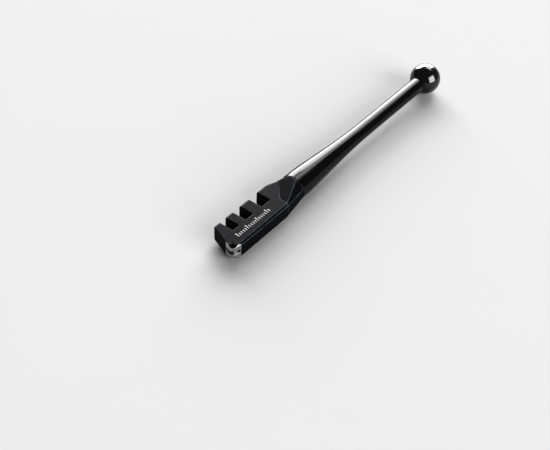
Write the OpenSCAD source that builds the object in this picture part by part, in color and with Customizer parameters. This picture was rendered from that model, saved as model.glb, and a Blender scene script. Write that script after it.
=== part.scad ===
// Hand glass cutter: a notched steel head with a free-turning cutting wheel in its nose, a round
// handle on a steel core rod, and a ball at the far end for tapping along the score.
// +X runs from the wheel to the ball, +Y towards the notched edge, +Z is up. The cutter lies with its
// broad face up, and the origin is under the middle of its length, on the plane that it lies on.

/* [Overall] */
// Length from the wheel's edge to the end of the ball
overall_l = 130; // [124:1:150]
// Diameter of the tapping ball
ball_d = 12; // [11:0.5:14]

/* [Head] */
// Width of the head, across the notches
head_w = 12.4; // [12:0.1:14]
// Thickness of the head
head_t = 6.6; // [6:0.1:7.5]
// Bevel along the head's long edges
head_bevel = 0.8; // [0.3:0.1:1]
// Slant of the front edge, away from square
front_slant = 20; // [10:1:28]
// Distance from the wheel's edge to the first notch
first_notch_x = 6.3; // [6:0.1:7]
// Widths of the three notches, from the nose back
notch_w = [3.4, 4.0, 4.8]; // [3:0.1:5]
// Widths of the two teeth between the notches
tooth_w = [3.2, 4.4]; // [2.5:0.1:4.5]
// Where the straight edge ends and its shoulder begins
straight_end_x = 27.4; // [27:0.1:28]
// Where the notched edge ends and its shoulder begins
notched_end_x = 31.2; // [30.5:0.1:32]

/* [Nose and wheel] */
// Diameter of the cutting wheel
wheel_d = 4.2; // [4.2:0.1:4.6]
// Thickness of the cutting wheel
wheel_t = 1.05; // [0.9:0.05:1.2]
// Angle of the wheel's cutting edge
edge_angle = 100; // [90:1:160]
// Diameter of the wheel's axle
axle_d = 1; // [0.8:0.1:1]
// Radial running clearance between the wheel and its axle
running_gap = 0.03; // [0.02:0.01:0.08]
// Gap on each side of the wheel in its slot
slot_gap = 0.1; // [0.06:0.01:0.2]
// Height of the bevel that thins the nose, on each face
nose_bevel = 1.3; // [0.8:0.1:1.3]

/* [Handle] */
// Where the handle meets the head's neck
handle_start_x = 38.5; // [38:0.1:40]
// Diameter at the thick front end
handle_front_d = 10; // [9:0.2:11]
// Diameter of the slim rear stretch
handle_rear_d = 6; // [5.6:0.2:6.4]
// Where the taper begins
taper_start_x = 42; // [41:0.5:44]
// Where the taper ends
taper_end_x = 84; // [76:1:90]
// How early the taper falls away: lower is earlier
taper_skew = 0.75; // [0.6:0.05:1]
// Diameter of the steel core rod
rod_d = 3; // [2.5:0.1:3.4]

/* [Scale marks] */
// Number of graduations
mark_count = 17; // [11:1:17]
// Pitch of the graduations
mark_pitch = 1; // [0.8:0.1:1]
// Width of the band of graduations
mark_band = 1.9; // [1:0.1:2]

/* [Hidden] */

$fn = 96;
neck_fn = 8;                 // facets round the neck
far = 40;                    // larger than any feature that it cuts

half_w = head_w / 2;
half_t = head_t / 2;
ball_r = ball_d / 2;
wheel_r = wheel_d / 2;
axle_r = axle_d / 2;
rod_r = rod_d / 2;
front_r = handle_front_d / 2;
rear_r = handle_rear_d / 2;

// The wheel reaches the front end, and stands a little inside the line of the straight edge.
wheel_proud = 0.3;           // how far the wheel's edge stands out of the nose
wheel_c = [wheel_r, wheel_r + wheel_proud - half_w];
nose_r = wheel_r - wheel_proud;
nose_dir = (270 + 180 - front_slant) / 2;   // midway between the two edges that meet at the nose
side_slant = 15;             // slope of the short edge from the nose to the straight edge
corner_r = 0.8;              // rounding of the head's notched front corner
slot_depth_gap = 0.25;       // gap between the wheel's edge and the slot's round end
slot_r = wheel_r + slot_depth_gap;
slot_h = wheel_t + 2 * slot_gap;

// Each notch starts where the one before it and its tooth end.
notch_x = [first_notch_x,
           first_notch_x + notch_w[0] + tooth_w[0],
           first_notch_x + notch_w[0] + tooth_w[0] + notch_w[1] + tooth_w[1]];

neck_lap = 0.2;              // length of the slab inside the neck's blend
neck_land = 1.5;             // length of the neck's round end
neck_step = 0.1;             // step up from the neck's corners to the handle
front_bevel = 0.4;           // bevel along the slanted front edge
shoulder_l = 3;              // length of the notched edge's shoulder
shoulder_normal = atan2(shoulder_l, half_w - front_r);
rod_in_head = 10;            // depth of the rod in the neck
rod_in_ball = 7;             // depth of the rod in the ball
ball_x = overall_l - ball_r;
handle_end_x = ball_x - sqrt(pow(ball_r, 2) - pow(rear_r, 2));
handle_lip = 0.4;            // rounding of the handle's front edge
lip_mid = handle_lip * (1 - cos(45));       // inset of the middle of that rounding

mark_w = 0.5;                // width of one graduation
mark_h = 0.05;               // height of the ink above the face
mark_short = 0.6;            // height of a plain graduation, as a share of every fifth one's
mark_start_x = 5.3;
mark_edge_y = -1.6;          // side of the band nearest the notches

// Puts a piece drawn on the cutter's own axis, x from the wheel's edge, into the part's frame.
module place() translate([-overall_l / 2, 0, ball_r]) children();

// Turns a profile drawn as [radius, x] about the cutter's axis.
module turned() rotate([0, 90, 0]) rotate_extrude() children();

function polar(r, a) = [r * cos(a), r * sin(a)];

// Centre of a circle of radius r that touches both edges of a corner with outward normals n and m.
function corner_centre(corner, n, m, r) = corner - r * (n + m) / (1 + n * m);

// Outline of the head as far as the neck: a slanted front edge that runs into the round nose, the
// long straight edge, a diagonal rear edge, and the notched edge with its rounded front corner.
module head_outline() {
    front_normal = polar(1, 180 - front_slant);
    edge_normal = [0, 1];
    front_tangent = wheel_c + nose_r * front_normal;
    side_tangent = wheel_c + polar(nose_r, 270 - side_slant);
    side_end = [side_tangent[0] + (side_tangent[1] + half_w) / tan(side_slant), -half_w];
    front_top = [front_tangent[0] + (half_w - front_tangent[1]) * tan(front_slant), half_w];
    corner_c = corner_centre(front_top, front_normal, edge_normal, corner_r);
    polygon(concat(
        [front_tangent, wheel_c, side_tangent, side_end],
        neck_end(0),
        [[notched_end_x, half_w]],
        [corner_c + corner_r * edge_normal, corner_c, corner_c + corner_r * front_normal]));
    translate(wheel_c) circle(nose_r);
    translate(corner_c) circle(corner_r);
}

// The slab's rear end, from the straight edge to the notched edge's shoulder, drawn in by inset.
function neck_end(inset) = [
    [straight_end_x, inset - half_w],
    [notched_end_x + shoulder_l, front_r - inset]];

// A bevel on both broad faces, along the edge that passes through point with its outward side
// towards direction a.
module edge_bevel(point, a, size) {
    for (side = [0, 1]) mirror([0, 0, side])
        translate([point[0], point[1], half_t - size]) rotate([0, 0, a]) rotate([0, 45, 0])
            translate([-far, -far, 0]) cube([2 * far, 2 * far, far]);
}

// The neck carries the slab's faces and bevels on as eight facets, from its diagonal rear end to an
// eight-sided end under the handle's front. The ramp up from each broad face starts on the diagonal.
module neck() hull() {
    for (inset = [0, head_bevel])
        linear_extrude(head_t - 2 * (head_bevel - inset), center = true)
            polygon(concat(neck_end(inset), [for (i = [1, 0]) neck_end(inset)[i] - [neck_lap, 0]]));
    translate([handle_start_x - neck_land, 0, 0]) rotate([0, 90, 0]) rotate([0, 0, 180 / neck_fn])
        cylinder(r = front_r - neck_step, h = neck_land, $fn = neck_fn);
}

// Bare nose and lacquered body in one casting, with the wheel's slot and bore, the three notches and
// the blind bore for the core rod.
module head() color([0.1, 0.1, 0.11]) place() difference() {
    union() {
        difference() {
            linear_extrude(head_t, center = true) head_outline();
            edge_bevel([0, half_w], 90, head_bevel);
            edge_bevel([0, -half_w], 270, head_bevel);
            edge_bevel([notched_end_x, half_w], shoulder_normal, head_bevel);
            edge_bevel(wheel_c + polar(nose_r, 180 - front_slant), 180 - front_slant, front_bevel);
            edge_bevel(wheel_c + polar(nose_r, nose_dir), nose_dir, nose_bevel);
        }
        neck();
    }
    for (i = [0 : len(notch_w) - 1])
        translate([notch_x[i], 0, -far / 2]) cube([notch_w[i], far, far]);
    translate([wheel_c[0], wheel_c[1], 0]) {
        cylinder(r = slot_r, h = slot_h, center = true);
        cylinder(r = axle_r, h = far, center = true);
    }
    translate([handle_start_x - rod_in_head, 0, 0]) rotate([0, 90, 0]) cylinder(r = rod_r, h = far);
}

// The wheel: a flat disc whose rim is ground from both sides to the cutting edge.
module cutting_wheel() color([0.45, 0.46, 0.48]) place() {
    flat_r = wheel_r - wheel_t / 2 / tan(edge_angle / 2);
    bore_r = axle_r + running_gap;
    translate([wheel_c[0], wheel_c[1], 0]) rotate_extrude()
        polygon([[bore_r, -wheel_t / 2], [flat_r, -wheel_t / 2], [wheel_r, 0],
                 [flat_r, wheel_t / 2], [bore_r, wheel_t / 2]]);
}

// The axle is pressed through both cheeks of the nose and is flush with them.
module wheel_axle() color([0.7, 0.7, 0.72]) place() {
    chamfer = 0.15;
    translate([wheel_c[0], wheel_c[1], 0]) rotate_extrude()
        polygon([[0, -half_t], [axle_r - chamfer, -half_t], [axle_r, chamfer - half_t],
                 [axle_r, half_t - chamfer], [axle_r - chamfer, half_t], [0, half_t]]);
}

// Radius of the handle at x: full at the front, falling in one smooth curve to the slim rear.
function taper_t(x) = min(1, max(0, (x - taper_start_x) / (taper_end_x - taper_start_x)));
function handle_r(x) = rear_r + (front_r - rear_r) * (1 + cos(180 * pow(taper_t(x), taper_skew))) / 2;

module handle() color([0.03, 0.03, 0.03]) place() {
    taper_steps = 24;
    step = (taper_end_x - taper_start_x) / taper_steps;
    turned() polygon(concat(
        [[rod_r, handle_start_x], [front_r - handle_lip, handle_start_x],
         [front_r - lip_mid, handle_start_x + lip_mid],
         [front_r, handle_start_x + handle_lip]],
        [for (i = [0 : taper_steps]) let (x = taper_start_x + i * step) [handle_r(x), x]],
        [[rear_r, handle_end_x], [rod_r, handle_end_x]]));
}

// The rod ties the head to the ball through the handle.
module core_rod() color([0.75, 0.75, 0.77]) place() {
    chamfer = 0.3;
    front_x = handle_start_x - rod_in_head;
    rear_x = handle_end_x + rod_in_ball;
    turned() polygon([[0, front_x], [rod_r - chamfer, front_x], [rod_r, front_x + chamfer],
                      [rod_r, rear_x - chamfer], [rod_r - chamfer, rear_x], [0, rear_x]]);
}

// The ball has a flat against the handle's end and a blind bore for the rod.
module tapping_ball() color([0.05, 0.05, 0.05]) place() turned() difference() {
    translate([0, ball_x]) circle(ball_r);
    translate([-far, ball_x - far / 2]) square([far, far]);
    translate([-far / 2, handle_end_x - far]) square([far, far]);
    translate([-far, handle_end_x - far + rod_in_ball]) square([far + rod_r, far]);
}

// White graduations printed on the broad face, every fifth one full height.
module scale_marks() color("white") place() {
    for (i = [0 : mark_count - 1]) {
        h = mark_band * (i % 5 == 0 ? 1 : mark_short);
        translate([mark_start_x + i * mark_pitch, mark_edge_y - mark_band, half_t])
            cube([mark_w, h, mark_h]);
    }
}

head();
cutting_wheel();
wheel_axle();
handle();
core_rod();
tapping_ball();
scale_marks();
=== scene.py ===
"""Looks of the hand glass cutter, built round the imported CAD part. Blender 4.5, metres.

Shapes are worked out in millimetres on the cutter's own axis: x from the wheel's edge towards the
ball, y towards the notched edge, z up. to_frame() puts them in the part's frame."""

import math

import bpy
import numpy as np
from mathutils import Matrix, Vector


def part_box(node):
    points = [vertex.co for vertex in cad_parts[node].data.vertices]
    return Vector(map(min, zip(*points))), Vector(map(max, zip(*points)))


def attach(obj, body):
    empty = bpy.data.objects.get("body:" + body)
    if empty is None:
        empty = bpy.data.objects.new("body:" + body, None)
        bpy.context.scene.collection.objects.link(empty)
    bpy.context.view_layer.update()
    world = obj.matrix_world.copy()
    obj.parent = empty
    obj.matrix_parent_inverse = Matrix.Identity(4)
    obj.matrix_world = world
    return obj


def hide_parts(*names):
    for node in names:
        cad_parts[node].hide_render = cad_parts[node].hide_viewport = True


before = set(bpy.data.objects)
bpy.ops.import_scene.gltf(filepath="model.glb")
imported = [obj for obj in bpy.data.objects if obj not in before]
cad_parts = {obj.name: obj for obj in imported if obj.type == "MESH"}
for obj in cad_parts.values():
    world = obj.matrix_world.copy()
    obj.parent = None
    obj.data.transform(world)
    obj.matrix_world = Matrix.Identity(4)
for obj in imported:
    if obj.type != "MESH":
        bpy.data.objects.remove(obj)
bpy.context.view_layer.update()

MM = 0.001
WHEEL_LOW, WHEEL_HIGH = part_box("cutting_wheel")
HANDLE_LOW, HANDLE_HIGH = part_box("handle")
BALL_LOW, BALL_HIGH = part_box("tapping_ball")
HEAD_LOW, HEAD_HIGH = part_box("head")
AXLE_LOW, AXLE_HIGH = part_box("wheel_axle")
MARKS_LOW, MARKS_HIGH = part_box("scale_marks")
ROD_LOW, ROD_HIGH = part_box("core_rod")

ORIGIN = np.array([WHEEL_LOW.x, 0.0, (HANDLE_LOW.z + HANDLE_HIGH.z) / 2])


def to_frame(points):
    """Points in millimetres on the cutter's axis, as metres in the part's frame."""
    return np.asarray(points, float) * MM + ORIGIN


def axis_mm(value, axis):
    """A part-frame coordinate in metres, as millimetres on the cutter's axis."""
    return (value - ORIGIN[axis]) / MM


# ---------------------------------------------------------------- sizes, in millimetres
HALF_W = (HEAD_HIGH.y - HEAD_LOW.y) / 2 / MM
HALF_T = (AXLE_HIGH.z - AXLE_LOW.z) / 2 / MM
WHEEL_R = (WHEEL_HIGH.x - WHEEL_LOW.x) / 2 / MM
WHEEL_T = (WHEEL_HIGH.z - WHEEL_LOW.z) / MM
WHEEL_C = np.array([WHEEL_R, axis_mm((WHEEL_LOW.y + WHEEL_HIGH.y) / 2, 1)])
AXLE_R = (AXLE_HIGH.x - AXLE_LOW.x) / 2 / MM
ROD_R = (ROD_HIGH.y - ROD_LOW.y) / 2 / MM
ROD_FRONT_X = axis_mm(ROD_LOW.x, 0)
ROD_REAR_X = axis_mm(ROD_HIGH.x, 0)
HANDLE_START_X = axis_mm(HANDLE_LOW.x, 0)
HANDLE_END_X = axis_mm(HANDLE_HIGH.x, 0)
FRONT_R = (HANDLE_HIGH.z - HANDLE_LOW.z) / 2 / MM
BALL_R = (BALL_HIGH.z - BALL_LOW.z) / 2 / MM
BALL_X = axis_mm(BALL_HIGH.x, 0) - BALL_R
REAR_R = math.sqrt(BALL_R**2 - (BALL_X - HANDLE_END_X) ** 2)

# The head: its outline, the bevels on both broad faces, and the wheel's slot.
NOSE_STEP = 0.3              # the wheel stands this far out of the nose
NOSE_R = WHEEL_R - NOSE_STEP
FRONT_SLANT, SIDE_SLANT = 20.0, 15.0
NOSE_DIR = (450 - FRONT_SLANT) / 2
NOSE_BEVEL, FRONT_BEVEL, HEAD_BEVEL = 1.3, 0.4, 0.8
CORNER_R = 0.8
NOTCHES = ((6.3, 9.7), (12.9, 16.9), (21.3, 26.1))
STRAIGHT_END = np.array([27.4, -HALF_W])
NOTCHED_END = np.array([31.2, HALF_W])
SHOULDER_END = np.array([34.2, FRONT_R])
SLOT_R, SLOT_H = WHEEL_R + 0.25, 1.25
AXLE_GAP = 0.03
EDGE_ANGLE = 100.0

# The neck: its ramp touches one ring under the handle's front, and its other facets another.
NECK_R, RING_R = FRONT_R - 0.1, FRONT_R - 0.3
NECK_CONE = 0.25             # slope of the cone that rounds the facets' rear ends
RAMP_STEP = 0.3              # the ramp starts this far under the broad face
SLAB_END_X, SLAB_FAR_X = 28.4, SHOULDER_END[0]
SLAB_DIAGONAL = np.array([[29.5, -1.3], [34.4, 2.9]])

# The handle's taper: where it begins, where it ends, and how early it falls away.
TAPER_START_X, TAPER_END_X, TAPER_SKEW = 42.0, 84.0, 0.75
HANDLE_LIP = 0.4

MARK_COUNT, MARK_PITCH, MARK_W = 17, 1.0, 0.5
MARK_SHORT, MARK_FIFTH = 0.6, 5   # a plain graduation's height, and which ones are full height

# Bare ground steel covers the nose's walls up to these, and fades out over GROUND_FADE.
GROUND_X, GROUND_Y, GROUND_FADE = 3.65, -1.4, 0.2
AXLE_PROUD = 0.06            # how far the axle's peened ends stand out of the faces
PAINTED_DEPTH = 0.5          # the axle is bare steel further in than this

# How far the head's edges and inner corners are eased.
EASE_OUTLINE, EASE_NOTCH_CORNER, EASE_NOTCH = 0.08, 0.1, 0.07
EASE_SLOT, EASE_SLOT_MOUTH = 0.03, 0.05
EASE_SLAB, EASE_FACETS, EASE_CREASE, EASE_SLAB_BEND = 0.05, 0.07, 0.06, 0.35


def polar(degrees):
    """The unit vector in that direction, from +x towards +y."""
    return np.array([math.cos(math.radians(degrees)), math.sin(math.radians(degrees))])


# ---------------------------------------------------------------- meshes
def add_piece(name, verts, faces, normals, slot, node, material, body="cutter"):
    """A mesh piece that stands for a CAD node and rides on a body. Its vertices are in millimetres
    on the cutter's axis."""
    mesh = bpy.data.meshes.new(name)
    mesh.from_pydata(to_frame(verts).tolist(), [], faces)
    mesh.validate()
    mesh.shade_smooth()
    if normals is not None:
        mesh.normals_split_custom_set_from_vertices(normals.tolist())
    obj = bpy.data.objects.new(name, mesh)
    bpy.context.scene.collection.objects.link(obj)
    mesh.materials.append(material)
    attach(obj, body)
    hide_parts(node)
    return obj


def mark(obj, name, values):
    """A number at each vertex, for the material to read."""
    attribute = obj.data.attributes.new(name, "FLOAT", "POINT")
    attribute.data.foreach_set("value", values.astype(np.float32))


def soft_max(k, *distances):
    """Smooth maximum: the intersection of solids, its edges eased by about k."""
    stack = np.stack(distances)
    top = stack.max(0)
    return top + k * np.log(np.exp((stack - top) / k).sum(0))


def soft_min(k, *distances):
    """Smooth minimum: the union of solids, the corners between them eased by about k."""
    return -soft_max(k, *[-d for d in distances])


def wedge(q, n, m, r):
    """Distance to two edges with outward normals n and m, rounded by r about the origin of q."""
    a, b, c = q @ n, q @ m, float(n @ m)
    inside = (a - b * c > 0) & (b - a * c > 0)
    return np.where(inside, np.hypot(q[:, 0], q[:, 1]), np.maximum(a, b)) - r


def neck_planes():
    """Outward planes (normal, offset) from the slab's rear end to the round handle: a ramp on top,
    and on each side a facet that carries the bevel on, and a wall."""
    def through(corner, across, up, ring):
        """The plane through a corner whose section faces (across, up) and that touches the ring."""
        section = np.array([across, up]) / math.hypot(across, up)
        n = np.array([0.0, section[0], section[1]])
        n[0] = (corner @ n - ring) / (HANDLE_START_X - corner[0])
        size = np.linalg.norm(n)
        return np.append(n, n @ corner) / size

    ramp_z, bevel_z = HALF_T - RAMP_STEP, HALF_T - HEAD_BEVEL
    start, end = np.append(STRAIGHT_END, ramp_z), np.append(SHOULDER_END, ramp_z)
    # The ramp tilts across so far that its plane holds both ends.
    tilts = np.radians(np.linspace(-40, 40, 3201))
    misses = [abs(through(start, math.sin(t), math.cos(t), NECK_R) @ np.append(end, -1))
              for t in tilts]
    tilt = tilts[int(np.argmin(misses))]
    near, far = np.append(STRAIGHT_END, bevel_z), np.append(SHOULDER_END, bevel_z)
    return np.array([through(start, math.sin(tilt), math.cos(tilt), NECK_R),
                     through(near, -1, 1, RING_R), through(near, -1, 0, RING_R),
                     through(far, 1, 1, RING_R), through(far, 1, 0, RING_R)])


NECK_PLANES = neck_planes()
FRONT_N, SIDE_N, NOSE_N = polar(180 - FRONT_SLANT), polar(270 - SIDE_SLANT), polar(NOSE_DIR)
SHOULDER_N = polar(math.degrees(math.atan2(
    SHOULDER_END[0] - NOTCHED_END[0], NOTCHED_END[1] - SHOULDER_END[1])))
FRONT_TANGENT = WHEEL_C + NOSE_R * FRONT_N
FRONT_TOP = np.array([
    FRONT_TANGENT[0] + (HALF_W - FRONT_TANGENT[1]) * math.tan(math.radians(FRONT_SLANT)), HALF_W])
CORNER_C = FRONT_TOP - CORNER_R * (FRONT_N + [0, 1]) / (1 + FRONT_N[1])
DIAGONAL = SLAB_DIAGONAL[1] - SLAB_DIAGONAL[0]
DIAGONAL_N = np.array([DIAGONAL[1], -DIAGONAL[0]]) / np.hypot(*DIAGONAL)


def neck_facets(p):
    """Distances to the neck's facets, and to the cone that rounds their rear ends."""
    folded = np.column_stack([p[:, :2], np.abs(p[:, 2])])
    flats = folded @ NECK_PLANES[:, :3].T - NECK_PLANES[:, 3]
    cone = np.hypot(p[:, 1], p[:, 2]) - NECK_R - NECK_CONE * (HANDLE_START_X - p[:, 0])
    return [*flats.T, cone]


def slab_end(p):
    """Distance to the slab's rear end: square, then diagonal, then square again."""
    diagonal = (p[:, :2] - SLAB_DIAGONAL[0]) @ DIAGONAL_N
    square = soft_min(EASE_SLAB_BEND, p[:, 0] - SLAB_END_X, diagonal)
    return np.maximum(square, p[:, 0] - SLAB_FAR_X)


def head_parts(p):
    """Distances to the head's surfaces at points p, by name."""
    q, az = p[:, :2], np.abs(p[:, 2])
    x, y = p[:, 0], p[:, 1]
    nose, corner = q - WHEEL_C, q - CORNER_C
    front = nose @ FRONT_N - NOSE_R
    walls = np.maximum(wedge(nose, FRONT_N, SIDE_N, NOSE_R),
                       wedge(corner, FRONT_N, np.array([0.0, 1.0]), CORNER_R))
    straight, notched = -y - HALF_W, y - HALF_W
    shoulder = (q - NOTCHED_END) @ SHOULDER_N

    def bevel(edge, size):
        return (edge + az - HALF_T + size) / math.sqrt(2)

    slab = soft_max(EASE_SLAB, az - HALF_T, slab_end(p))
    facets = neck_facets(p)
    top = soft_min(EASE_CREASE, slab, soft_max(EASE_FACETS, *facets))
    # Behind the shoulder, the neck's far side stands out of the shoulder's planes.
    far_bevel, far_wall = facets[3:5]
    return {
        "walls": walls, "straight": straight, "top": top,
        "shoulder": soft_min(EASE_CREASE, shoulder, far_wall),
        "bevel_shoulder": soft_min(EASE_CREASE, bevel(shoulder, HEAD_BEVEL), far_bevel),
        "bevel_straight": bevel(straight, HEAD_BEVEL), "bevel_notched": bevel(notched, HEAD_BEVEL),
        "bevel_front": bevel(front, FRONT_BEVEL),
        "bevel_nose": bevel(nose @ NOSE_N - NOSE_R, NOSE_BEVEL),
        "end": x - HANDLE_START_X,
    }


def head_distance(p):
    """Signed distance to the head, negative inside."""
    x, y, z = p.T
    d = soft_max(EASE_OUTLINE, *head_parts(p).values())
    for start, end in NOTCHES:
        notch = soft_max(EASE_NOTCH_CORNER, start - x, x - end, -y)
        d = soft_max(EASE_NOTCH, d, -notch)
    radius = np.hypot(x - WHEEL_C[0], y - WHEEL_C[1])
    slot = soft_max(EASE_SLOT, radius - SLOT_R, np.abs(z) - SLOT_H / 2)
    d = soft_max(EASE_SLOT_MOUTH, d, -slot)
    bore = np.maximum(np.hypot(y, z) - ROD_R, ROD_FRONT_X - x)
    return np.maximum(d, -bore)


def edge_nearness(p, normals, reach=0.22, sharp=0.11):
    """1 on the head's outer edges, falling to 0 on its flats. At an edge the surface falls away on
    either side, so points stepped off along it lie outside."""
    helper = np.where(np.abs(normals[:, :1]) < 0.7, [[1.0, 0.0, 0.0]], [[0.0, 1.0, 0.0]])
    along = np.cross(normals, helper)
    along *= reach / np.linalg.norm(along, axis=1, keepdims=True)
    across = np.cross(normals, along)
    rise = sum(head_distance(p + step) for step in (along, -along, across, -across)) / 4
    return np.clip(rise / reach / sharp, 0, 1)


def surface_net(distance, axes):
    """Vertices and quads of the zero surface of distance on the grid of three coordinate arrays."""
    shape = tuple(len(a) for a in axes)
    grid = np.stack(np.meshgrid(*axes, indexing="ij"), -1).reshape(-1, 3)
    d = np.concatenate([distance(part) for part in np.array_split(grid, 24)]).reshape(shape)
    grid = grid.reshape(shape + (3,))
    cells = tuple(n - 1 for n in shape)
    total, count = np.zeros((int(np.prod(cells)), 3)), np.zeros(int(np.prod(cells)))
    quads = []
    for axis in range(3):
        u, v = (axis + 1) % 3, (axis + 2) % 3
        low = [slice(None)] * 3
        low[axis] = slice(0, -1)
        high = list(low)
        high[axis] = slice(1, None)
        d0, d1 = d[tuple(low)], d[tuple(high)]
        index = np.argwhere((d0 < 0) != (d1 < 0))
        inner = ((index[:, u] > 0) & (index[:, u] < cells[u])
                 & (index[:, v] > 0) & (index[:, v] < cells[v]))
        index = index[inner]
        at = tuple(index.T)
        up = index.copy()
        up[:, axis] += 1
        t = (d0[at] / (d0[at] - d1[at]))[:, None]
        crossing = grid[at] * (1 - t) + grid[tuple(up.T)] * t
        ring = []
        for du, dv in ((-1, -1), (0, -1), (0, 0), (-1, 0)):
            cell = index.copy()
            cell[:, u] += du
            cell[:, v] += dv
            flat = np.ravel_multi_index(tuple(cell.T), cells)
            np.add.at(total, flat, crossing)
            np.add.at(count, flat, 1)
            ring.append(flat)
        ring = np.stack(ring, 1)
        outward = d0[at] < 0
        quads.append(np.where(outward[:, None], ring, ring[:, ::-1]))
    used = np.flatnonzero(count)
    number = np.full(len(count), -1)
    number[used] = np.arange(len(used))
    return total[used] / count[used][:, None], number[np.concatenate(quads)]


def gradient(distance, p, step=0.01):
    """Direction in which the distance grows fastest, which at the surface is its normal."""
    return np.stack([(distance(p + e) - distance(p - e)) / (2 * step)
                     for e in np.eye(3) * step], 1)


def pull_to_surface(distance, p, rounds=3, limit=0.12):
    """The points moved onto the zero surface, by at most limit in each round."""
    for _ in range(rounds):
        g = gradient(distance, p)
        move = (distance(p) / np.maximum((g * g).sum(1), 0.05))[:, None] * g
        size = np.linalg.norm(move, axis=1, keepdims=True)
        p = p - move * np.minimum(1, limit / np.maximum(size, 1e-9))
    return p


def stepped(*stops):
    """Coordinates from (start, step), (next start, step) ... to the last start."""
    values = []
    for (start, step), (end, _) in zip(stops, stops[1:]):
        n = max(1, round((end - start) / step))
        values.extend(start + (end - start) * i / n for i in range(n))
    return np.array(values + [stops[-1][0]])


def build_head(material):
    """The head as one closed surface, finest at the nose, the slot and the neck's front."""
    coarse, fine = ((0.17, 0.13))
    margin, half_height, half_slot = 0.4, 5.2, 0.9
    nose_end_x, neck_x, ridge_end_x, bevel_end_y = 6.0, 27.6, 35.4, -1.0
    axes = [
        stepped((-margin, fine), (nose_end_x, coarse), (neck_x, fine), (ridge_end_x, coarse),
                (HANDLE_START_X + margin, 0)),
        stepped((-HALF_W - margin, fine), (bevel_end_y, coarse), (HALF_W + margin, 0)),
        stepped((-half_height, coarse), (-half_slot, fine), (half_slot, coarse), (half_height, 0)),
    ]
    verts, quads = surface_net(head_distance, axes)
    verts = pull_to_surface(head_distance, verts)
    normals = gradient(head_distance, verts)
    normals /= np.linalg.norm(normals, axis=1, keepdims=True)
    obj = add_piece("head_casting", verts, quads.tolist(), normals, "black_lacquer", "head",
                    material)
    # Only the outermost 0.2 mm of the nose is ground: the slot and the bevels behind it aren't.
    inside = np.minimum(GROUND_X - verts[:, 0], GROUND_Y - verts[:, 1]) / GROUND_FADE
    outer = np.clip(2.2 + head_parts(verts)["walls"] / 0.1, 0, 1)
    mark(obj, "ground", outer * np.clip(inside, 0, 1))
    mark(obj, "edge", edge_nearness(verts, normals))


def rounded_profile(corners, steps=5):
    """Points and unit normals along a closed profile. Each corner is (radius, x, fillet), and they
    run so that the solid is on the left."""
    points, normals = [], []
    n = len(corners)
    for i, (r, x, fillet) in enumerate(corners):
        p = np.array([r, x])
        before = np.array(corners[i - 1][:2]) - p
        after = np.array(corners[(i + 1) % n][:2]) - p
        u, v = before / np.hypot(*before), after / np.hypot(*after)
        n_in, n_out = np.array([-u[1], u[0]]), np.array([v[1], -v[0]])
        half = math.acos(max(-1, min(1, float(u @ v)))) / 2
        if fillet <= 0 or half > math.pi / 2 - 0.02:
            points.append(p)
            mid = n_in + n_out
            normals.append(mid / np.hypot(*mid))
            continue
        cut = min(fillet / math.tan(half), 0.45 * min(np.hypot(*before), np.hypot(*after)))
        radius = cut * math.tan(half)
        turn = math.copysign(1, float(n_in[0] * n_out[1] - n_in[1] * n_out[0]))
        centre = p + u * cut - n_in * radius * turn
        for s in np.linspace(0, 1, steps):
            normal = n_in * (1 - s) + n_out * s
            normal = normal / np.hypot(*normal)
            points.append(centre + normal * radius * turn)
            normals.append(normal)
    return np.array(points), np.array(normals)


def lathe(name, points, normals, segments, along_z=None, **kept):
    """A closed profile of (radius, x) turned about the cutter's axis. With along_z=(x, y) it turns
    about an upright axis there, and the profile's second value is z."""
    angles = np.arange(segments) * 2 * math.pi / segments
    c, s = np.cos(angles)[:, None], np.sin(angles)[:, None]
    on_axis = points[:, 0] < 1e-6

    def spin(values):
        r, x = values[:, 0][None], values[:, 1][None]
        if along_z is None:
            return np.stack([np.broadcast_to(x, (segments, len(values))), r * c, r * s], -1)
        return np.stack([r * c, r * s, np.broadcast_to(x, (segments, len(values)))], -1)

    ring_v, ring_n = spin(points), spin(normals)
    if along_z is not None:
        ring_v[..., 0] += along_z[0]
        ring_v[..., 1] += along_z[1]
    count = len(points)
    index = np.arange(segments)[:, None] * count + np.arange(count)[None]
    index[:, on_axis] = np.arange(count)[on_axis][None]
    faces = []
    for i in range(segments):
        j = (i + 1) % segments
        for a in range(count):
            b = (a + 1) % count
            if on_axis[a] and on_axis[b]:
                continue
            quad = [index[i, a], index[i, b], index[j, b], index[j, a]]
            quad = list(dict.fromkeys(quad))
            faces.append(quad[::-1])
    used = sorted({v for f in faces for v in f})
    number = {v: k for k, v in enumerate(used)}
    faces = [[number[int(v)] for v in f] for f in faces]
    verts = ring_v.reshape(-1, 3)[used]
    norms = ring_n.reshape(-1, 3)[used]
    return add_piece(name, verts, faces, norms, **kept)


def handle_radius(x):
    """Full at the front, falling in one smooth curve to the slim rear."""
    t = min(1.0, max(0.0, (x - TAPER_START_X) / (TAPER_END_X - TAPER_START_X)))
    return REAR_R + (FRONT_R - REAR_R) * (1 + math.cos(math.pi * t ** TAPER_SKEW)) / 2


def build_handle(material):
    """The handle, with its lip eased at the front and its bore for the rod."""
    xs = np.concatenate([
        np.linspace(HANDLE_START_X + HANDLE_LIP, TAPER_START_X, 8, endpoint=False),
        np.linspace(TAPER_START_X, TAPER_END_X, 64, endpoint=False),
        np.linspace(TAPER_END_X, HANDLE_END_X, 40)])
    outer = [(handle_radius(x), x, 0) for x in xs]
    corners = [(ROD_R, HANDLE_END_X, 0), (ROD_R, HANDLE_START_X, 0.1),
               (FRONT_R, HANDLE_START_X, HANDLE_LIP)] + outer
    points, normals = rounded_profile(corners, 8)
    lathe("handle_grip", points, normals, 96, slot="gloss_black", node="handle",
          material=material)


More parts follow.
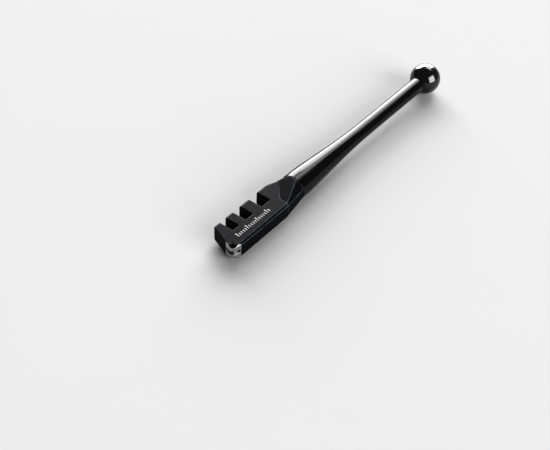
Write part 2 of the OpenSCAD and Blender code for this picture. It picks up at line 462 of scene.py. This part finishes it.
def build_ball(material):
    """The ball, with its flat against the handle's end and its bore for the rod."""
    start = math.asin(REAR_R / BALL_R)
    arc = [(BALL_R * math.sin(a), BALL_X - BALL_R * math.cos(a), 0)
           for a in np.linspace(start, math.pi, 56)]
    corners = [(0.0, ROD_REAR_X, 0), (ROD_R, ROD_REAR_X, 0), (ROD_R, HANDLE_END_X, 0)] + arc
    points, normals = rounded_profile(corners)
    lathe("tapping_ball_shell", points, normals, 96, slot="ball_black", node="tapping_ball",
          material=material)


def build_wheel(material):
    """A flat disc whose rim is ground from both sides to the cutting edge."""
    half, bore = WHEEL_T / 2, AXLE_R + AXLE_GAP
    flat_r = WHEEL_R - half / math.tan(math.radians(EDGE_ANGLE / 2))
    corners = [(bore, half, 0.06), (bore, -half, 0.06), (flat_r, -half, 0.04),
               (WHEEL_R, 0.0, 0.02), (flat_r, half, 0.04)]
    points, normals = rounded_profile(corners, 4)
    lathe("carbide_wheel", points, normals, 128, along_z=WHEEL_C, slot="carbide",
          body="wheel", node="cutting_wheel", material=material)


def build_axle(material):
    """The axle, its ends peened over a hair proud of the head's faces and painted with them."""
    top, rim, drop = HALF_T + AXLE_PROUD, 0.14, 0.1
    corners = [(0.0, top, 0), (0.0, -top, 0), (AXLE_R - rim, -top, 0.08),
               (AXLE_R, drop - top, 0.04), (AXLE_R, top - drop, 0.04),
               (AXLE_R - rim, top, 0.08)]
    points, normals = rounded_profile(corners, 5)
    obj = lathe("axle_pin", points, normals, 64, along_z=WHEEL_C, slot="bright_steel",
                node="wheel_axle", material=material)
    heights = np.array([v.co.z for v in obj.data.vertices]) / MM - ORIGIN[2] / MM
    bare = np.clip((HALF_T - PAINTED_DEPTH - np.abs(heights)) / 0.1, 0, 1)
    mark(obj, "ground", bare)
    mark(obj, "edge", 0 * bare)


def build_marks(material):
    """Raised ink graduations with rounded corners and eased tops."""
    x0, y0, y1 = axis_mm(MARKS_LOW.x, 0), axis_mm(MARKS_LOW.y, 1), axis_mm(MARKS_HIGH.y, 1)
    z0, z1 = axis_mm(MARKS_LOW.z, 2), axis_mm(MARKS_HIGH.z, 2)
    corner_r = 0.12
    # The ink's side wall as (inset, share of the ink's height).
    wall = ((0, 0), (0, 0.5), (0.02, 0.85), (0.06, 1))
    verts, faces = [], []
    for i in range(MARK_COUNT):
        height = (y1 - y0) * (1 if i % MARK_FIFTH == 0 else MARK_SHORT)
        x = x0 + i * MARK_PITCH
        cx, cy, hx, hy = x + MARK_W / 2, y0 + height / 2, MARK_W / 2, height / 2
        loops = []
        for inset, share in wall:
            z = z0 + share * (z1 - z0)
            loop = []
            for k, (sx, sy) in enumerate(((1, 1), (-1, 1), (-1, -1), (1, -1))):
                for a in np.linspace(90 * k, 90 * (k + 1), 5):
                    n = polar(a)
                    loop.append((cx + sx * (hx - corner_r) + (corner_r - inset) * n[0],
                                 cy + sy * (hy - corner_r) + (corner_r - inset) * n[1], z))
            loops.append(loop)
        base, size = len(verts), len(loops[0])
        for loop in loops:
            verts.extend(loop)
        for ring in range(len(loops) - 1):
            for k in range(size):
                a, b = base + ring * size + k, base + ring * size + (k + 1) % size
                faces.append([a, b, b + size, a + size])
        faces.append([base + (len(loops) - 1) * size + k for k in range(size)])
        faces.append([base + k for k in reversed(range(size))])
    add_piece("scale_print", verts, faces, None, "white_ink", "scale_marks", material)


def finish_rod(material):
    """The core rod keeps its CAD shape."""
    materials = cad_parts["core_rod"].data.materials
    materials.clear()
    materials.append(material)


# ---------------------------------------------------------------- materials
class Nodes:
    """Builds one material's node tree with short calls."""

    def __init__(self, name):
        self.material = bpy.data.materials.new(name)
        self.material.use_nodes = True
        self.tree = self.material.node_tree
        self.shader = self.tree.nodes["Principled BSDF"]
        self.place = self.add("ShaderNodeTexCoord").outputs["Object"]

    def add(self, kind, inputs=(), **props):
        node = self.tree.nodes.new(kind)
        for key, value in props.items():
            setattr(node, key, value)
        for key, value in dict(inputs).items():
            self.put(node.inputs[key], value)
        return node

    def put(self, socket, value):
        if isinstance(value, bpy.types.NodeSocket):
            self.tree.links.new(value, socket)
        else:
            socket.default_value = value

    def noise(self, scale, detail=2.0, rough=0.5, stretch=None):
        """Noise of about 1/scale metres, from 0 to 1."""
        vector = self.place
        if stretch:
            mapping = {"Vector": vector, "Scale": stretch}
            vector = self.add("ShaderNodeMapping", mapping).outputs["Vector"]
        return self.add("ShaderNodeTexNoise", {
            "Vector": vector, "Scale": scale, "Detail": detail, "Roughness": rough,
        }).outputs["Fac"]

    def ramp(self, value, low, high, to_low=0.0, to_high=1.0):
        """A smooth step from to_low, where value is low, to to_high, where it is high."""
        return self.add("ShaderNodeMapRange", {
            "Value": value, "From Min": low, "From Max": high, "To Min": to_low,
            "To Max": to_high}, interpolation_type="SMOOTHSTEP").outputs["Result"]

    def math(self, operation, a, b=0.0, clamp=False):
        node = self.add("ShaderNodeMath", operation=operation, use_clamp=clamp)
        self.put(node.inputs[0], a)
        self.put(node.inputs[1], b)
        return node.outputs[0]

    def mix(self, factor, a, b):
        """Colour a where factor is 0 and b where it is 1."""
        node = self.add("ShaderNodeMix", data_type="RGBA")
        self.put(node.inputs[0], factor)
        self.put(node.inputs[6], a)
        self.put(node.inputs[7], b)
        return node.outputs[2]

    def bump(self, height, distance, under=None):
        """Bump of that height in metres, on top of another one."""
        inputs = {"Height": height, "Distance": distance, "Strength": 1.0}
        if under is not None:
            inputs["Normal"] = under
        return self.add("ShaderNodeBump", inputs).outputs["Normal"]

    def attribute(self, name):
        return self.add("ShaderNodeAttribute", attribute_name=name).outputs["Fac"]

    def finish(self, **inputs):
        for key, value in inputs.items():
            self.put(self.shader.inputs[key.replace("_", " ")], value)
        return self.material


def grey(value, tint=(1, 1, 1)):
    """A grey of that brightness as a colour, tinted."""
    return (value * tint[0], value * tint[1], value * tint[2], 1)


def head_material():
    """Satin black lacquer over cast steel, worn on the edges and painted paler along them as a
    painted highlight, and bare ground steel on the nose."""
    n = Nodes("black_lacquer")
    cool, warm = (0.85, 1.0, 1.3), (1, 0.99, 0.97)
    ground, edge = n.attribute("ground"), n.attribute("edge")
    # Where steel shows: the ground nose, with a ragged limit, and specks on the sharpest edges.
    fleck = n.noise(2600, 3)
    ragged = n.math("ADD", ground, n.ramp(n.noise(1800, 2), 0.3, 0.7, -0.1, 0.1))
    bare = n.ramp(ragged, 0.4, 0.6)
    worn = n.math("MULTIPLY", n.ramp(edge, 0.6, 1.0), n.ramp(n.noise(1100, 3), 0.6, 0.72))
    # The lacquer is painted paler along the edges, in patches: a painted highlight on the edges.
    patches = n.ramp(n.noise(420, 2), 0.3, 0.7, 0.35, 1.0)
    paler_patches = n.math("MULTIPLY", n.ramp(edge, 0.2, 0.9), patches)
    paint = n.mix(n.noise(300, 2), grey(0.003, cool), grey(0.005, cool))
    # Painted highlight: a paler grey mixed in along the edges.
    paint = n.mix(paler_patches, paint, grey(0.085, (0.9, 1.0, 1.1)))
    # The grinding lines run round the nose, at right angles to the axle.
    grind = n.noise(260, 3, 0.6, stretch=(1, 1, 22))
    steel = n.mix(grind, grey(0.3), grey(0.5, warm))
    show = n.math("MAXIMUM", bare, n.math("MULTIPLY", worn, 0.3), clamp=True)
    # Orange peel, the casting's skin, and the grinding lines on the bare steel.
    peel = n.bump(n.noise(1500, 2), 6e-6)
    cast = n.bump(n.noise(350, 2), 1.2e-5, peel)
    lines = n.bump(n.math("MULTIPLY", grind, bare), 1.2e-5, cast)
    rough_paint = n.ramp(fleck, 0.2, 0.8, 0.48, 0.6)
    rough_steel = n.ramp(grind, 0.2, 0.8, 0.26, 0.4)
    rough = n.math("ADD", n.math("MULTIPLY", rough_paint, n.math("SUBTRACT", 1.0, show)),
                   n.math("MULTIPLY", rough_steel, show))
    n.shader.inputs["Specular IOR Level"].default_value = 0.06
    return n.finish(Base_Color=n.mix(show, paint, steel), Metallic=show, Roughness=rough,
                    Normal=lines)


def gloss_material(name, colour, rough_low, rough_high, specular):
    """Glossy black enamel with faint orange peel, slow waviness and specks of dust."""
    n = Nodes(name)
    tone = n.noise(120, 2)
    dust = n.ramp(n.noise(3200, 2), 0.66, 0.78)
    base = n.mix(tone, grey(colour), grey(colour * 1.6, (1, 1, 1.05)))
    base = n.mix(n.math("MULTIPLY", dust, 0.12), base, grey(0.12))
    rough = n.math("ADD", n.ramp(n.noise(260, 3), 0.25, 0.75, rough_low, rough_high),
                   n.math("MULTIPLY", dust, 0.05))
    slow = n.bump(n.noise(90, 1), 1.5e-5)
    peel = n.bump(n.noise(900, 2), 1.5e-6, slow)
    n.shader.inputs["Specular IOR Level"].default_value = specular
    return n.finish(Base_Color=base, Roughness=rough, Normal=peel)


def steel_material(name, dark, light, rough_low, rough_high, scale):
    """Drawn or ground metal, with a fine grain and dull spots."""
    n = Nodes(name)
    marks = n.noise(scale, 3, 0.6)
    spots = n.ramp(n.noise(700, 3), 0.35, 0.75)
    base = n.mix(marks, grey(dark), grey(light, (1, 0.99, 0.97)))
    base = n.mix(n.math("MULTIPLY", spots, 0.35), base, grey(dark * 0.7, (1, 0.96, 0.9)))
    rough = n.ramp(marks, 0.2, 0.8, rough_low, rough_high)
    n.shader.inputs["Metallic"].default_value = 1.0
    return n.finish(Base_Color=base, Roughness=rough, Normal=n.bump(marks, 3e-6))


def ink_material():
    """White ink that is thinner in patches."""
    n = Nodes("white_ink")
    grain = n.noise(4200, 2)
    paler_patches = n.ramp(n.noise(1300, 3), 0.35, 0.7)
    base = n.mix(paler_patches, grey(0.17, (1.0, 1.01, 1.04)), grey(0.27, (1.0, 1.0, 1.02)))
    return n.finish(Base_Color=base, Roughness=n.ramp(grain, 0.2, 0.8, 0.5, 0.7),
                    Normal=n.bump(grain, 4e-6))


def floor_material():
    """Plain, pale and matt."""
    n = Nodes("studio_floor")
    base = n.mix(n.noise(40, 2), grey(0.388), grey(0.392))
    n.shader.inputs["Specular IOR Level"].default_value = 0.0
    return n.finish(Base_Color=base, Roughness=0.9)


# ---------------------------------------------------------------- stage
FLOOR_REACH = 3000.0         # from the cutter to the floor's edges, in millimetres
LIGHT_DISTANCE = 6.2         # in metres


def build_floor():
    """A plain floor that touches the ball and the thick front of the handle."""
    front_x, rear_x = HANDLE_START_X + 1.5, BALL_X
    rise = (BALL_R - FRONT_R) / (rear_x - front_x)
    clearance = 0.01
    steps = np.linspace(-FLOOR_REACH, FLOOR_REACH, 5)
    verts = [(x, y, (rear_x - x) * rise - BALL_R - clearance) for x in steps for y in steps]
    m = len(steps)
    faces = [[i * m + j, (i + 1) * m + j, (i + 1) * m + j + 1, i * m + j + 1]
             for i in range(m - 1) for j in range(m - 1)]
    mesh = bpy.data.meshes.new("studio_floor")
    mesh.from_pydata(to_frame(verts).tolist(), [], faces)
    floor = bpy.data.objects.new("studio_floor", mesh)
    bpy.context.scene.collection.objects.link(floor)
    mesh.materials.append(floor_material())


def softbox(name, azimuth, elevation, across, height, radiance):
    """A far soft box, seen from the object at that azimuth (from +X) and elevation. Its size is
    given as the tangent of the angle it spans, and radiance is its brightness."""
    data = bpy.data.lights.new(name, "AREA")
    data.shape = "RECTANGLE"
    data.size, data.size_y = across * LIGHT_DISTANCE, height * LIGHT_DISTANCE
    data.energy = radiance * math.pi * data.size * data.size_y
    a, e = math.radians(azimuth), math.radians(elevation)
    away = Vector((math.cos(a) * math.cos(e), math.sin(a) * math.cos(e), math.sin(e)))
    lamp = bpy.data.objects.new(name, data)
    lamp.location = away * LIGHT_DISTANCE
    lamp.rotation_mode = "QUATERNION"
    lamp.rotation_quaternion = away.to_track_quat("Z", "Y")
    lamp.visible_camera = False
    bpy.context.scene.collection.objects.link(lamp)


def build_world():
    """A white surround behind the floor, and a faint even light on the object."""
    world = bpy.data.worlds.new("studio")
    bpy.context.scene.world = world
    world.use_nodes = True
    tree = world.node_tree
    faint = tree.nodes["Background"]
    faint.inputs["Color"].default_value = (0.92, 0.95, 1.0, 1)
    faint.inputs["Strength"].default_value = 0.14
    white = tree.nodes.new("ShaderNodeBackground")
    white.inputs["Color"].default_value = (0.66, 0.66, 0.66, 1)
    path = tree.nodes.new("ShaderNodeLightPath")
    mix = tree.nodes.new("ShaderNodeMixShader")
    tree.links.new(path.outputs["Is Camera Ray"], mix.inputs[0])
    tree.links.new(faint.outputs[0], mix.inputs[1])
    tree.links.new(white.outputs[0], mix.inputs[2])
    tree.links.new(mix.outputs[0], tree.nodes["World Output"].inputs["Surface"])


def build_lights():
    """A large box behind the cutter lights the handle's far side, two small high ones soften its
    edge, and a box on the near side lights the nose and the ball."""
    softbox("back_box", azimuth=38, elevation=21, across=1.21, height=0.71, radiance=11.0)
    softbox("back_edge", azimuth=14, elevation=50, across=0.42, height=0.355, radiance=5.0)
    softbox("back_rim", azimuth=-8, elevation=52, across=0.32, height=0.32, radiance=1.6)
    softbox("side_box", azimuth=-92, elevation=22, across=0.8, height=0.74, radiance=7.0)
    bpy.context.scene.view_settings.view_transform = "Standard"
    bpy.context.scene.view_settings.look = "High Contrast"


def build_camera():
    """The camera stands where the photograph's did, in the part's frame."""
    eye = Vector((-0.2419, -0.1548, 0.2459))
    target = Vector((-0.04097, -0.00395, 0.001115))
    roll = math.radians(-2.6788)
    forward = (target - eye).normalized()
    right = forward.cross(Vector((0, 0, 1))).normalized()
    down = forward.cross(right)
    right, down = (math.cos(roll) * right + math.sin(roll) * down,
                   -math.sin(roll) * right + math.cos(roll) * down)
    data = bpy.data.cameras.new("camera")
    data.sensor_width, data.lens = 36.0, 66.906
    data.clip_start = 0.01
    camera = bpy.data.objects.new("camera", data)
    camera.matrix_world = Matrix.Translation(eye) @ Matrix((
        (right.x, -down.x, -forward.x), (right.y, -down.y, -forward.y),
        (right.z, -down.z, -forward.z))).to_4x4()
    bpy.context.scene.collection.objects.link(camera)
    bpy.context.scene.camera = camera


steel = steel_material("bright_steel", 0.45, 0.68, 0.2, 0.34, scale=1500)
head_paint = head_material()
build_head(head_paint)
# The carbide is given a near-black grey, darker than real carbide: painted shade for the wheel
# sitting deep in its slot.
build_wheel(steel_material("carbide", 0.04, 0.08, 0.3, 0.45, scale=2600))
build_axle(head_paint)
build_handle(gloss_material("gloss_black", 0.0035, 0.07, 0.13, specular=0.25))
build_ball(gloss_material("ball_black", 0.004, 0.1, 0.18, specular=0.8))
build_marks(ink_material())
finish_rod(steel)
build_floor()
build_lights()
build_world()
build_camera()
